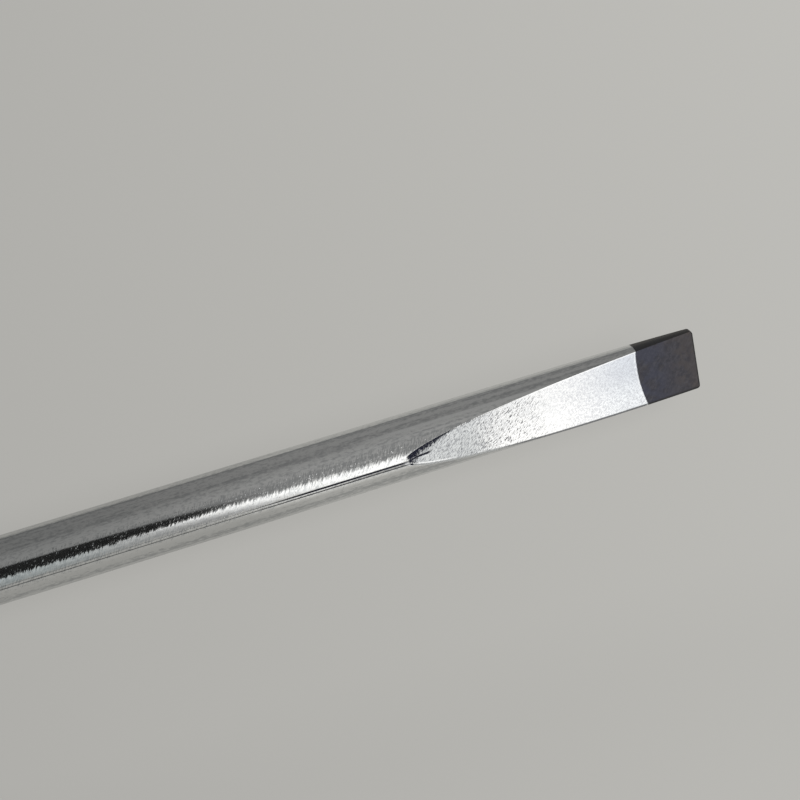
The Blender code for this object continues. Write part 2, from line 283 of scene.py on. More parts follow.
def groundPlate():
    # what the grinding leaves: a wedge from past the tip back, then a wide block
    shape = bladeShape
    front, end = -shape["plateAhead"], shape["flatLength"] + shape["flatRun"]
    leaveEdit()
    firstX = tipEnd - front
    bpy.ops.mesh.primitive_plane_add(size=1, location=(firstX, 0, 0), rotation=(0, math.pi / 2, 0))
    plate = bpy.context.object
    settlePlace()
    editPiece(plate)
    pickAll()
    opening = (1, 2 * halfThickness(front), shape["plateWidth"])
    bpy.ops.transform.resize(value=opening, center_override=(firstX, 0, 0))
    grow = halfThickness(end) / halfThickness(front)
    pullOut(front - end, 0, 0)
    bpy.ops.transform.resize(value=(1, grow, 1), center_override=(tipEnd - end, 0, 0))
    pullOut(-shape["blockStep"], 0, 0)
    bpy.ops.transform.resize(value=(1, shape["blockTimes"], 1), center_override=(0, 0, 0))
    pullOut(-shape["blockLength"], 0, 0)
    tidyMesh()
    pickObject(plate)
    plate.rotation_euler.x = -flatElevation
    plate.location.z = axisHeight
    settlePlace()
    return plate


def makeBlade():
    shape = bladeShape
    radius, corner = shape["radius"], shape["cornerRadius"]
    chamfer = shape["tangChamfer"]
    profile = [(tipEnd, 0)]
    for angle in spaced(math.pi / 2, 0, shape["cornerSteps"]):
        inX, inRadius = corner * (1 - math.sin(angle)), corner * (1 - math.cos(angle))
        profile.append((tipEnd - inX, radius - inRadius))
    profile += [(bladeLow.x + chamfer, radius), (bladeLow.x, radius - chamfer), (bladeLow.x, 0)]
    blade = turnProfile("shank_and_tip", profile, shape["sides"])
    applyBoolean(blade, groundPlate(), "INTERSECT")
    editPiece(blade)

    def onFlat(face):
        middle = face.calc_center_median() - axisPoint
        inside = math.hypot(middle.y, middle.z) < radius * shape["flatInside"]
        ahead = middle.x > tipEnd - shape["flatLength"] - shape["flatBehind"]
        return inside and ahead and abs(face.normal.x) < shape["flatSlope"]

    pickFaces(blade, onFlat)
    bpy.ops.mesh.region_to_loop()
    bpy.ops.mesh.mark_sharp()
    pickObject(blade)
    smoothAngle = math.radians(shape["smoothAngle"])
    bpy.ops.object.shade_smooth_by_angle(angle=smoothAngle, keep_sharp_edges=True)
    print("blade:", len(blade.data.polygons), "faces")
    return blade


# finish of the blade: place, its stretch, detail and roughness of each noise
steelNoise = {
    "streaks": ("centred", (20, 2600, 2600), 4.0, 0.65),
    "bands": ("centred", (10, 1100, 1100), 1.0, 0.5),
    "sparks": ("centred", (2200, 5200, 5200), 2.0, 0.6),
    "hairs": ("hairPlace", (9000, 1900, 1900), 3.0, 0.65),
    "glints": ("hairPlace", (11700, 4180, 4180), 2.0, 0.6),
    "dashes": ("dashPlace", (7400, 3600, 3600), 2.0, 0.55),
    "fine": ("dashPlace", (11100, 4860, 4860), 2.0, 0.5),
    "strokes": ("dashPlace", (4200, 900, 900), 2.0, 0.6),
    "mottle": ("place", (3200, 3200, 3200), 5.0, 0.7),
    "grain": ("place", (5600, 5600, 5600), 3.0, 0.6),
    "blotches": ("place", (750, 750, 750), 3.0, 0.6),
    "cloud": ("place", (900, 900, 900), 3.0, 0.6),
}
# back is metres behind the tip, fromUpper and fromLower are in from the flat's edges, turns are degrees
steelLook = {
    "hairSlant": 0.6, "dashSlant": 0.84,
    "turns": {"offBrushed": -11.3, "offHighlight": -55.2, "offBetween": 4.8},
    "brushed": ("offBrushed", 18.0, 30.0, 1.0, 0.0),
    # where it is ground, ragged at the run-out
    "onPlane": ("fromAxis", bladeShape["radius"] - 0.000012, bladeShape["radius"] - 0.000004, 1.0, 0.0),
    "flatRagged": 0.0008,
    "flatEnd": ("raggedBack", 0.0290, 0.0292, 1.0, 0.0),
    # dashes of the grinding, darkest a third of the way from the run-out
    "dashFirst": ("back", 0.0142, 0.0190, 0.12, 1.0),
    "dashLast": ("back", 0.0200, 0.0234, 1.0, 0.35),
    "dashTone": ("dashes", 0.36, 0.43, 1.0, 0.0),
    "dashShare": 0.9,
    "dash": (0.06, 0.06, 0.075, 1),
    # drawn lines: turn, then half width and depth, each shallow and deep
    "lines": ((2.0, (1.0, 2.6), (0.4, 1.0)), (7.3, (1.2, 1.6), (0.72, 0.9))),
    "deep": ("back", 0.0381, 0.0460, 1.0, 0.0),
    "lineEdge": ("offLine", 0.4, 1.0, 1.0, 0.0),
    "lineFrom": ("back", 0.0278, 0.0300),
    "between": ("offBetween", 2.0, 3.0, 1.0, 0.0),
    "betweenFade": ("back", 0.0320, 0.0375, 0.32, 0.0),
    # torn skin
    "tornWidth": ("back", 0.0243, 0.0274, 0.00010, 0.00062),
    "tornWider": ("back", 0.0278, 0.0292, 0.0, 0.0012),
    "tornHatch": 3.6,
    "tornEdge": ("longHatch", 0.05, 0.45),
    "tornFrom": ("back", 0.0239, 0.0247),
    "besideIn": ("back", 0.0268, 0.0288, 0.00100, 0.00070),
    "besideHalf": 0.00014,
    "besideHatch": -1.6,
    "besideEdge": ("shortHatch", 0.4, 1.0, 1.0, 0.0),
    "besideFrom": ("back", 0.0266, 0.0272),
    "specksIn": ("fromUpper", 0.00008, 0.00022, 0.8, 0.0),
    "specksTone": ("dashes", 0.48, 0.54),
    "specksFrom": ("back", 0.0162, 0.0239),
    "marks": (0.012, 0.013, 0.022, 1),
    # round bar
    "streakShares": {"streaks": 0.45, "bands": 0.35, "sparks": 0.38},
    "barTone": ("streakTone", 0.50, 0.67),
    "bar": ((0.48, 0.49, 0.495, 1), (0.72, 0.725, 0.72, 1)),
    # painted highlight: a pale band at a fixed turn round the bar, fading out just behind the flats'
    # run-out
    "paintedHighlightBand": ("offHighlight", 1.5, 5.0, 0.75, 0.0),
    "paintedHighlightFade": ("back", 0.0288, 0.0357, 1.0, 0.0),
    "pale": (0.88, 0.885, 0.88, 1),
    # ground flat, pairs of colours from its upper half to its lower
    "lowerHalf": ("across", -0.0015, 0.0020),
    "nearBlack": ((0.54, 0.568, 0.615, 1), (0.745, 0.77, 0.80, 1)),
    "midFlat": ((0.74, 0.745, 0.75, 1), (0.90, 0.90, 0.90, 1)),
    "midFrom": ("back", 0.0061, 0.0142),
    "runOutFrom": ("back", 0.0200, 0.0235),
    "runOut": (0.515, 0.53, 0.535, 1),
    "blotchTone": ("blotches", 0.42, 0.66, 0.0, 0.2),
    "blotch": (0.45, 0.47, 0.50, 1),
    "grainTone": ("grain", 0.40, 0.60, 0.5, 0.0),
    "grainFade": ("back", 0.0123, 0.0171, 1.0, 0.35),
    "grain": (0.40, 0.41, 0.45, 1),
    "fineTone": ("fine", 0.38, 0.52, 0.75, 0.0),
    "fineFrom": ("back", 0.0185, 0.0224),
    "fine": (0.17, 0.175, 0.19, 1),
    # its edges: painted shade along the lower edge, a painted glint beside it, and a painted highlight
    # along the upper edge
    "lowerShadeIn": ("fromLower", 0.00014, 0.00023, 0.9, 0.0),
    "lowerShadeFrom": ("back", 0.0175, 0.0215),
    "lower": ((0.07, 0.072, 0.075, 1), (0.26, 0.265, 0.265, 1)),
    "besideLower": 0.00028,
    "glintIn": ("offLower", 0.00002, 0.00008, 0.7, 0.0),
    "glintFrom": ("back", 0.0240, 0.0260),
    "glint": (0.85, 0.855, 0.86, 1),
    "upperHighlightIn": ("fromUpper", 0.00005, 0.00014, 0.5, 0.0),
    "upper": (0.88, 0.88, 0.88, 1),
    # blackened end, its edge bowed, with a bright rim past it
    "bowMiddle": -0.00102, "bow": -36.0, "blackLength": 0.00598, "blackRagged": 0.00012,
    "blackEdge": ("pastBlack", -0.00004, 0.00004, 1.0, 0.0),
    "rimPast": 0.00012,
    "rimEdge": ("offRim", 0.00002, 0.00010, 1.0, 0.0),
    "rimTone": ("mottle", 0.4, 0.6, 0.0, 0.4),
    "rim": (0.86, 0.87, 0.88, 1),
    "blackTone": ("mottle", 0.32, 0.68),
    "black": ((0.011, 0.011, 0.019, 1), (0.044, 0.044, 0.056, 1)),
    "brownTone": ("cloud", 0.5, 0.72, 0.0, 0.3),
    "brown": (0.046, 0.037, 0.031, 1),
    "wornEnd": ("back", 0.0001, 0.0011, 1.0, 0.0),
    "wornUpper": ("fromUpper", 0.0, 0.0006, 1.0, 0.0),
    "wornTone": ("cloud", 0.38, 0.62, 0.0, 0.6),
    "worn": (0.060, 0.045, 0.036, 1),
    "strokeTone": ("strokes", 0.42, 0.60, 0.0, 0.45),
    "stroke": (0.008, 0.008, 0.016, 1),
    "tintFrom": ("back", 0.0012, 0.0042),
    "tint": ((0.052, 0.043, 0.040, 1), (0.030, 0.033, 0.056, 1)),
    "tintTone": ("cloud", 0.40, 0.58, 0.55, 0.1),
    # painted shade: the bar's sides darker towards the near flat, and dark along the lower edge and the
    # end
    "sideFrom": ("away", -0.0003, 0.0002),
    "side": ((0.017, 0.015, 0.013, 1), (0.003, 0.003, 0.003, 1)),
    "sideShadeShare": 0.9,
    "lastLowerShade": ("fromLower", 0.00008, 0.00030, 1.0, 0.0),
    "lastEndShade": ("back", 0.00004, 0.00018, 1.0, 0.0),
    "last": (0.004, 0.004, 0.005, 1),
    # surface
    "barRough": (0.06, 0.11), "flatRough": (0.17, 0.34), "blackRough": 0.5,
    "leanRound": ("turn", -27.0, -14.0, 0.13, 0.34),
    "glintTone": ("glints", 0.63, 0.71),
    "glintLean": 0.36,
    "pitHeight": 0.7, "markHeight": 0.5, "blackHeight": 0.25, "bump": 0.24,
}


def barPlaces(tree):
    # along the bar, round it, and in from the flat's two edges
    look = steelLook
    at = SimpleNamespace(look=look)
    at.place = addNode("TexCoord", {}, tree).outputs["Object"]
    at.centred = vectorNode("SUBTRACT", at.place, axisPoint)
    at.along = addNode("SeparateXYZ", {0: at.centred}).outputs["X"]
    at.across = vectorNode("DOT_PRODUCT", at.centred, flatAcross)
    at.away = vectorNode("DOT_PRODUCT", at.centred, flatNormal)
    at.back = minus(tipEnd, at.along)
    at.turn = times(mathNode("ARCTAN2", at.across, at.away), math.degrees(1))
    at.fromAxis = vectorNode("LENGTH", joined(0.0, at.across, at.away))
    halfSquare = minus(bladeShape["radius"] ** 2, times(at.away, at.away))
    halfWidth = mathNode("SQRT", larger(halfSquare, 0.0))
    at.fromUpper = plus(halfWidth, at.across)
    at.fromLower = minus(halfWidth, at.across)
    at.offLower = offFrom(at.fromLower, look["besideLower"])
    for name, turn in look["turns"].items():
        setattr(at, name, offFrom(at.turn, turn))
    # the hairs of the bar and the dashes of the flats slant
    hairSlant = addTimes(at.across, look["hairSlant"], at.along)
    at.hairPlace = joined(hairSlant, at.across, at.away)
    dashSlant = addTimes(at.across, look["dashSlant"], at.along)
    at.dashPlace = joined(dashSlant, at.across, at.away)
    for name, (place, stretch, detail, roughness) in steelNoise.items():
        stretched = addNode("Mapping", {"Vector": getattr(at, place), "Scale": stretch})
        setattr(at, name, noiseNode(stretched.outputs[0], 1.0, detail, roughness))
    at.hatch = minus(at.fine, 0.5)
    at.hairLean = times(minus(at.hairs, 0.5), ramped(at, "brushed"))
    at.raggedBack = addTimes(at.hatch, look["flatRagged"], at.back)
    at.flat = ramped(at, "onPlane", "flatEnd")
    at.onBar = minus(1.0, at.flat)
    at.dashShade = ramped(at, "dashTone", "dashFirst", "dashLast")
    return at


def drawnLines(at):
    # two lines along the bar, the upper one deeper where it runs into the flat, and a shade between
    deep = ramped(at, "deep")
    line = ramped(at, "between", "betweenFade")
    for turn, widths, depths in steelLook["lines"]:
        at.offLine = over(offFrom(at.turn, turn), mixValue(deep, *widths))
        line = larger(line, times(ramped(at, "lineEdge"), mixValue(deep, *depths)))
    return times(times(line, at.onBar), ramped(at, "lineFrom"))


def tornSkin(at):
    # at the run-out, a hatched stroke along the upper edge, a short one beside it, specks along the rest
    look = steelLook
    width = plus(ramped(at, "tornWidth"), ramped(at, "tornWider"))
    share = minus(1.0, over(at.fromUpper, width))
    at.longHatch = addTimes(at.hatch, look["tornHatch"], share)
    off = over(offFrom(at.fromUpper, ramped(at, "besideIn")), look["besideHalf"])
    at.shortHatch = addTimes(at.hatch, look["besideHatch"], off)
    strokes = larger(ramped(at, "tornEdge", "tornFrom"), ramped(at, "besideEdge", "besideFrom"))
    return times(larger(strokes, ramped(at, "specksIn", "specksTone", "specksFrom")), at.flat)


def barColour(at):
    # drawn streaks, with short slanting hairs where it is brushed, and a pale band at a fixed turn that
    # is a painted highlight
    look = steelLook
    at.streakTone = at.hairLean
    for name, share in look["streakShares"].items():
        at.streakTone = addTimes(getattr(at, name), share, at.streakTone)
    colour = mixColour(ramped(at, "barTone"), *look["bar"])
    return mixColour(ramped(at, "paintedHighlightBand", "paintedHighlightFade"), colour, look["pale"])


def flatColour(at):
    look = steelLook
    lowerHalf = ramped(at, "lowerHalf")
    nearBlack = mixColour(lowerHalf, *look["nearBlack"])
    midFlat = mixColour(lowerHalf, *look["midFlat"])
    return shaded(mixColour(ramped(at, "midFrom"), nearBlack, midFlat), (
        (ramped(at, "runOutFrom"), look["runOut"]),
        (ramped(at, "blotchTone", "dashFirst", "dashLast"), look["blotch"]),
        (ramped(at, "grainTone", "grainFade"), look["grain"]),
        (ramped(at, "fineTone", "fineFrom"), look["fine"]),
        (times(at.dashShade, look["dashShare"]), look["dash"]),
        # painted shade along the lower edge, a painted glint beside it and a painted highlight along the
        # upper edge
        (ramped(at, "lowerShadeIn"), mixColour(ramped(at, "lowerShadeFrom"), *look["lower"])),
        (ramped(at, "glintIn", "glintFrom"), look["glint"]),
        (ramped(at, "upperHighlightIn"), look["upper"]),
    ))


def blackEnd(at):
    # what is blackened, and its rim
    look = steelLook
    bow = mathNode("POWER", minus(at.across, look["bowMiddle"]), 2.0)
    length = addTimes(bow, look["bow"], look["blackLength"])
    ragged = times(minus(at.mottle, 0.5), look["blackRagged"])
    at.pastBlack = minus(at.back, plus(length, ragged))
    at.offRim = offFrom(at.pastBlack, look["rimPast"])
    return ramped(at, "blackEdge"), times(ramped(at, "rimEdge", "rimTone"), at.flat)


def blackColour(at):
    # clouded, worn brown at the corners, with painted shade on the bar's sides and along the last edges
    look = steelLook
    worn = larger(ramped(at, "wornEnd"), ramped(at, "wornUpper"))
    return shaded(mixColour(ramped(at, "blackTone"), *look["black"]), (
        (ramped(at, "brownTone"), look["brown"]),
        (times(worn, ramped(at, "wornTone")), look["worn"]),
        (ramped(at, "strokeTone"), look["stroke"]),
        (ramped(at, "tintTone"), mixColour(ramped(at, "tintFrom"), *look["tint"])),
        (times(at.onBar, look["sideShadeShare"]), mixColour(ramped(at, "sideFrom"), *look["side"])),
        (larger(ramped(at, "lastLowerShade"), ramped(at, "lastEndShade")), look["last"]),
    ))


def tippedNormal(tree, at):
    # the hairs tip the surface sideways, round the bar
    surface = addNode("NewGeometry", {}, tree).outputs["Normal"]
    sideways = vectorNode("CROSS_PRODUCT", (1.0, 0.0, 0.0), surface)
    lean = times(at.hairLean, ramped(at, "leanRound"))
    lean = addTimes(ramped(at, "glintTone", "brushed"), steelLook["glintLean"], lean)
    inputs = {0: sideways, "Scale": times(lean, at.onBar)}
    tip = addNode("VectorMath", inputs, operation="SCALE").outputs[0]
    return vectorNode("NORMALIZE", vectorNode("ADD", surface, tip))


def bladeSteel():
    material, tree, shader = newMaterial("platedSteel")
    look, at = steelLook, barPlaces(tree)
    marks = larger(drawnLines(at), tornSkin(at))
    black, rim = blackEnd(at)
    colour = shaded(barColour(at), (
        (at.flat, flatColour(at)), (marks, look["marks"]), (rim, look["rim"]), (black, blackColour(at))))
    feed(shader, "Base Color", colour)
    feed(shader, "Metallic", minus(1.0, black))
    barRough = mixValue(at.streaks, *look["barRough"])
    flatRough = mixValue(at.dashShade, *look["flatRough"])
    rough = mixValue(at.flat, barRough, flatRough)
    feed(shader, "Roughness", mixValue(black, rough, look["blackRough"]))
    pits = times(times(at.dashes, ramped(at, "dashFirst", "dashLast")), at.flat)
    height = minus(times(pits, look["pitHeight"]), times(marks, look["markHeight"]))
    height = addTimes(times(at.mottle, black), look["blackHeight"], height)
    linkBump(shader, {"Height": height, "Normal": tippedNormal(tree, at), "Strength": look["bump"]})
    return material


joinFrame(makeBlade(), bladeSteel(), "blade")

# handle: depths are behind the nose
handleShape = {
    "outline": ((0.006, 0.0083), (0.015, 0.0167), (0.020, 0.0167), (0.031, 0.0103),
                (0.041, 0.0103), (0.060, 0.0163), (0.082, 0.0163), (0.087, 0.0159)),
    "front": 0.0063, "end": 0.087, "guardFlats": 0.0298, "barrelFlats": 0.0290,
    "boreRadius": 0.0071, "boreEnd": 0.0733, "recessRadius": 0.0084, "recessFrom": 0.0757,
    "sides": 144, "step": 0.0007, "creaseBand": 0.0004, "creaseIn": 0.0005,
    "edgeRun": 0.0007,  # kept free beside a rounded edge
    "frontRun": 0.0008, "frontIn": 0.0001, "frontFillet": 0.0005,
    "waistFillet": 0.0003, "endFillet": 0.0004,
    "guardFacets": (0.0065, 0.0252),
    "barrelFacets": (0.0473, 0.0871),
    "barrelMiddle": (0.0520, 0.0864, 0.0068),
    "pocketTop": 0.018, "smoothAngle": 40,
}
facetTurns = [math.radians(60 * order) for order in range(6)]


def handleRadius(depth):
    outline = handleShape["outline"]
    for (start, radius), (end, nextRadius) in zip(outline, outline[1:]):
        if depth <= end:
            share = max(0, (depth - start) / (end - start))
            return radius + (nextRadius - radius) * (1 - math.cos(math.pi * share)) / 2
    return outline[-1][1]


def rounded(corners, steps=4):
    # (depth, radius, fillet) corners of a profile, each fillet drawn as a short curve
    points = []
    for order, (depth, radius, fillet) in enumerate(corners):
        corner = Vector((noseEnd - depth, radius))
        if not fillet:
            points.append(tuple(corner))
            continue
        back, on = [(Vector((noseEnd - nextDepth, nextRadius)) - corner).normalized() * fillet
                    for nextDepth, nextRadius, _ in (corners[order - 1], corners[order + 1])]
        for share in spaced(0, 1, steps):
            points.append(tuple(corner + back * (1 - share) ** 2 + on * share ** 2))
    return points


def outlinePoints(start, end, inset=0.0):
    steps = max(2, round((end - start) / handleShape["step"]))
    return [(depth, handleRadius(depth) - inset, 0) for depth in spaced(start, end, steps)]


def facetPlaces(place):
    # how far to the side of each facet's middle a place is, and how far out
    for turn in facetTurns:
        side = place.y * math.cos(turn) + place.z * math.sin(turn)
        yield side, place.z * math.cos(turn) - place.y * math.sin(turn)


def pressFacets(piece, flats, fromDepth, toDepth, outerRadius):
    # each facet is pressed flat where the turned shape stands out past it, then its creases softened
    highX, lowX = noseEnd - fromDepth, noseEnd - toDepth
    for turn in facetTurns:
        facet = Matrix.Rotation(turn, 3, "X")
        normal = facet.col[2]
        pickVerts(piece, lambda co: lowX < co.x < highX and (co - axisPoint).dot(normal) > flats / 2)
        bpy.ops.transform.resize(value=(1, 1, 0), orient_type="GLOBAL", orient_matrix=facet,
                                 orient_matrix_type="GLOBAL", constraint_axis=(False, False, True),
                                 center_override=axisPoint + normal * flats / 2)

    def nearCrease(co):
        place = co - axisPoint
        outer = outerRadius(noseEnd - co.x)
        margin = handleShape["step"]
        inner = flats / 2 - handleShape["creaseIn"]
        if not lowX + margin < co.x < highX - margin or math.hypot(place.y, place.z) < inner:
            return False
        for side, out in facetPlaces(place):
            if out > 0 and abs(side) < outer:
                if abs(math.sqrt(outer ** 2 - side ** 2) - flats / 2) < handleShape["creaseBand"]:
                    return True
        return False

    pickVerts(piece, nearCrease)
    bpy.ops.mesh.vertices_smooth(factor=0.5, repeat=4)


def mergeFacets(piece, flats, fromDepth, toDepth, halfWidth):
    # the flat middle of each facet becomes one face
    highX, lowX = noseEnd - fromDepth, noseEnd - toDepth

    def onFacet(face):
        middle = face.calc_center_median() - axisPoint
        for side, out in facetPlaces(middle):
            if abs(out - flats / 2) < tolerance and abs(side) < halfWidth:
                return lowX < middle.x < highX
        return False

    pickFaces(piece, onFacet)
    bpy.ops.mesh.dissolve_limited(angle_limit=0.005)


def smoothPiece(piece, angle):
    pickObject(piece)
    bpy.ops.object.shade_smooth_by_angle(angle=math.radians(angle))
    weighted = piece.modifiers.new("weighted", "WEIGHTED_NORMAL")
    weighted.keep_sharp = True
    bpy.ops.object.modifier_apply(modifier=weighted.name)
    print(piece.name + ":", len(piece.data.polygons), "faces")
    return piece


# surface effects that the handle's materials share
def effectGroup(name, inputs, outputs):
    group = bpy.data.node_groups.new(name, "ShaderNodeTree")
    for socket, kind, value in inputs:
        made = group.interface.new_socket(name=socket, in_out="INPUT", socket_type=kind)
        if value is not None:
            made.default_value = value
    for socket in outputs:
        group.interface.new_socket(name=socket, in_out="OUTPUT", socket_type="NodeSocketFloat")
    given, out = group.nodes.new("NodeGroupInput"), group.nodes.new("NodeGroupOutput")
    return group, given.outputs, out


# detail and roughness of the two noises, and edge of the tone
grainLook = {"fine": (3.0, 0.6), "coarse": (3.0, 0.55), "coarseScale": 0.03, "tone": (0.3, 0.7)}


def grainGroup():
    sockets = (("Vector", "NodeSocketVector", None), ("Scale", "NodeSocketFloat", 4000.0))
    group, given, out = effectGroup("mouldedGrain", sockets, ("Height", "Tone"))
    fine = noiseNode(given["Vector"], given["Scale"], *grainLook["fine"])
    coarseScale = times(given["Scale"], grainLook["coarseScale"])
    coarse = noiseNode(given["Vector"], coarseScale, *grainLook["coarse"])
    feed(out, "Height", fine)
    feed(out, "Tone", rampNode(coarse, *grainLook["tone"]))
    return group


# turn, stretch and edge of each set of scratches; scale, detail, roughness and edge of the other marks
wearLook = {
    "scratches": (((0.4, 0.3, 0.5), (150, 5200, 2600), (0.66, 0.74)),
                  ((-0.7, 0.2, -0.9), (220, 4600, 3000), (0.67, 0.75))),
    "patches": ((140.0, 3.0, 0.6), (0.42, 0.68)),
    "specks": ((3400.0, 2.0, 0.5), (0.66, 0.76)),
    "haze": ((260.0, 4.0, 0.65), (0.45, 0.75, 0.0, 0.5)),
}


def wearMark(given, name):
    noise, edge = wearLook[name]
    return rampNode(noiseNode(given["Vector"], *noise), *edge)


def wearGroup():
    sockets = (("Vector", "NodeSocketVector", None), ("Amount", "NodeSocketFloat", 0.5))
    group, given, out = effectGroup("handWear", sockets, ("Scuffs", "Dust"))
    lines = 0.0
    for turned, stretch, edge in wearLook["scratches"]:
        inputs = {"Vector": given["Vector"], "Rotation": turned, "Scale": stretch}
        place = addNode("Mapping", inputs).outputs[0]
        lines = larger(lines, rampNode(noiseNode(place), *edge))
    scuffs = times(lines, wearMark(given, "patches"))
    dust = larger(wearMark(given, "specks"), wearMark(given, "haze"))
    for name, share in (("Scuffs", scuffs), ("Dust", dust)):
        feed(out, name, times(share, given["Amount"]))
    return group


grain, wear = grainGroup(), wearGroup()


def mouldedMaterial(name, look):
    material, tree, shader = newMaterial(name)
    place = addNode("TexCoord", {}, tree).outputs["Object"]
    grained = addNode("Group", {"Vector": place, "Scale": look["grainScale"]}, node_tree=grain)
    worn = addNode("Group", {"Vector": place, "Amount": look["wear"]}, node_tree=wear)
    tone, scuffs, dust = grained.outputs["Tone"], worn.outputs["Scuffs"], worn.outputs["Dust"]
    colour = mixColour(tone, look["dark"], look["light"])
    colour = shaded(colour, ((scuffs, look["scuffed"]), (dust, look["dusty"])))
    feed(shader, "Base Color", colour)
    rough = mixValue(tone, *look["roughness"])
    rough = mixValue(larger(scuffs, dust), rough, look["wornRoughness"])
    feed(shader, "Roughness", rough)
    linkBump(shader, {"Height": grained.outputs["Height"], "Strength": look["bump"]})
    return material


hardLook = {
    "dark": (0.020, 0.080, 0.172, 1),
    "light": (0.028, 0.100, 0.208, 1),
    "scuffed": (0.075, 0.150, 0.250, 1),
    "dusty": (0.130, 0.170, 0.210, 1),
    "roughness": (0.26, 0.34), "wornRoughness": 0.55,
    "grainScale": 2600.0, "wear": 0.35, "bump": 0.06,
}
coreLook = {
    "dark": (0.024, 0.026, 0.030, 1),
    "light": (0.036, 0.038, 0.042, 1),
    "scuffed": (0.075, 0.075, 0.078, 1),
    "dusty": (0.090, 0.090, 0.088, 1),
    "roughness": (0.42, 0.50), "wornRoughness": 0.62,
    "grainScale": 5200.0, "wear": 0.35, "bump": 0.18,
}
rubberLook = {
    "dark": (0.017, 0.018, 0.020, 1),
    "light": (0.027, 0.028, 0.030, 1),
    "scuffed": (0.048, 0.048, 0.048, 1),
    "dusty": (0.085, 0.083, 0.078, 1),
    "roughness": (0.66, 0.76), "wornRoughness": 0.85,
    "grainScale": 6500.0, "wear": 0.4, "bump": 0.35,
}
hardPlastic = mouldedMaterial("handlePlastic", hardLook)
capPlastic = mouldedMaterial("capPlastic", hardLook)
corePlastic = mouldedMaterial("corePlastic", coreLook)
gripRubber = mouldedMaterial("gripRubber", rubberLook)

# core with the nose collar
collarShape = {
    "bore": 0.00315, "boreChamfer": 0.0003, "boreEnd": 0.0693,
    "frontRadius": 0.0054, "frontFillet": 0.0009, "length": 0.006,
    "backRadius": 0.0074, "backFillet": 0.0002, "coreRadius": 0.0068,
    "end": 0.073, "endFillet": 0.0003, "sides": 128, "smoothAngle": 30,
}


def makeCore():
    shape = collarShape
    chamfer, length, end = shape["boreChamfer"], shape["length"], shape["end"]
    corners = [(chamfer, shape["bore"], 0), (0.0, shape["bore"] + chamfer, 0)]
    corners += [(0.0, shape["frontRadius"], shape["frontFillet"])]
    corners += [(length, shape["backRadius"], shape["backFillet"]), (length, shape["coreRadius"], 0)]
    corners += [(end, shape["coreRadius"], shape["endFillet"]), (end, 0, 0)]
    corners += [(shape["boreEnd"], 0, 0), (shape["boreEnd"], shape["bore"], 0)]
    core = turnProfile("nose_core", rounded(corners, 6), shape["sides"], closed=True)
    return smoothPiece(core, shape["smoothAngle"])


joinFrame(makeCore(), corePlastic, "tang_core")

# soft ribbed sleeve
sleeveShape = {
    "front": 0.0255, "back": 0.047, "gap": 0.00012, "depth": 0.0016,
    "land": 0.0014, "crease": 0.0010, "creaseDepth": 0.0005,
    "creaseReach": 0.62, "ribs": 8, "firstLand": 0.0258, "step": 0.00012,
    "sides": 144, "edge": 0.00025, "edgeRun": 0.0005, "smoothAngle": 50,
}


def sleeveRadius(depth):
    shape = sleeveShape
    pitch = shape["land"] + shape["crease"]
    first = shape["firstLand"] + shape["land"] + shape["crease"] / 2
    rib = min(max(round((depth - first) / pitch), 0), shape["ribs"] - 1)
    middle = first + rib * pitch
    off = abs(depth - middle) / (shape["crease"] * shape["creaseReach"])
    dip = shape["creaseDepth"] * (1 + math.cos(math.pi * off)) / 2 if off < 1 else 0
    return handleRadius(depth) - dip


def makeSleeve():
    shape = sleeveShape
    front, back = shape["front"] + shape["gap"], shape["back"] - shape["gap"]
    inner = shape["depth"] - shape["gap"]
    run = shape["edgeRun"]
    steps = round((back - front - 2 * run) / shape["step"])
    corners = [(front, handleRadius(front) - inner, 0), (front, handleRadius(front), shape["edge"])]
    corners += [(depth, sleeveRadius(depth), 0) for depth in spaced(front + run, back - run, steps)]
    corners += [(back, handleRadius(back), shape["edge"]), (back, handleRadius(back) - inner, 0)]
    corners += outlinePoints(front, back, inner)[-2:0:-1]
    sleeve = turnProfile("ribbed_sleeve", rounded(corners), shape["sides"], closed=True)
    return smoothPiece(sleeve, shape["smoothAngle"])


joinFrame(makeSleeve(), gripRubber, "waist_sleeve")

# soft inlays: one is modelled on the top facet and copied round
inlayShape = {
    "start": 0.0545, "end": 0.084, "width": 0.01086, "floor": 0.0123,
    "face": 0.0149, "edge": 0.0006, "edgeSteps": 5, "pocketGap": 0.00012,
    "grooveRadius": 0.0009, "grooveDepth": 0.0005, "groovePitch": 0.004,
    "grooves": 6, "grooveSides": 48, "sides": 96, "soft": 0.00016,
    "softSteps": 3, "softAngle": 32, "smoothAngle": 35,
}


def inlayBlank(name, gap, top):
    shape = inlayShape
    leaveEdit()
    radius = shape["width"] / 2 + gap
    middle = noseEnd - (shape["start"] + shape["end"]) / 2
    stretch = (shape["end"] - shape["start"] - shape["width"]) / 2
    bpy.ops.mesh.primitive_circle_add(vertices=shape["sides"], radius=radius, fill_type="NGON",
                                      location=(middle, 0, axisHeight + shape["floor"] - gap))
    blank = bpy.context.object
    blank.name = blank.data.name = name
    settlePlace()
    editPiece(blank)
    pickVerts(blank, lambda co: co.x > middle + tolerance)
    bpy.ops.transform.translate(value=(stretch, 0, 0))
    pickVerts(blank, lambda co: co.x < middle - tolerance)
    bpy.ops.transform.translate(value=(-stretch, 0, 0))
    pickAll()
    pullOut(0, 0, top - shape["floor"] + gap)
    return blank


